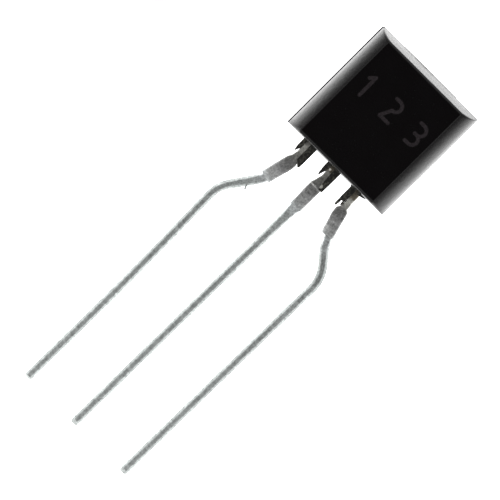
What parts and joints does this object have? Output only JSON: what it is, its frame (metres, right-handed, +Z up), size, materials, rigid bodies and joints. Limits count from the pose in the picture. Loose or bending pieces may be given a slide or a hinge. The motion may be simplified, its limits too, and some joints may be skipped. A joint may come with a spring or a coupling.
{
  "type": "to-92 transistor",
  "caption": "Small-signal transistor: half-round moulded case with one flat face and a row of stamped leads formed to a wider pitch.",
  "frame": {"origin": "middle of the outline's base, on the surface that the part lies on", "axes": "+Y from the lead tips towards the case, +X from the collector lead to the emitter lead, +Z up, out of the flat face"},
  "size_m": [0.0056, 0.0184, 0.0046],
  "materials": {
    "resin": "satin",
    "tinned_lead": "satin",
    "silicon": "gloss",
    "solder": "matte",
    "gold_wire": "polished"
  },
  "bodies": {
    "root": {"case": "resin", "collector_lead": "tinned_lead", "base_lead": "tinned_lead", "emitter_lead": "tinned_lead", "die": "silicon", "die_attach": "solder", "base_wire": "gold_wire", "emitter_wire": "gold_wire"}
  },
  "joints": []
}
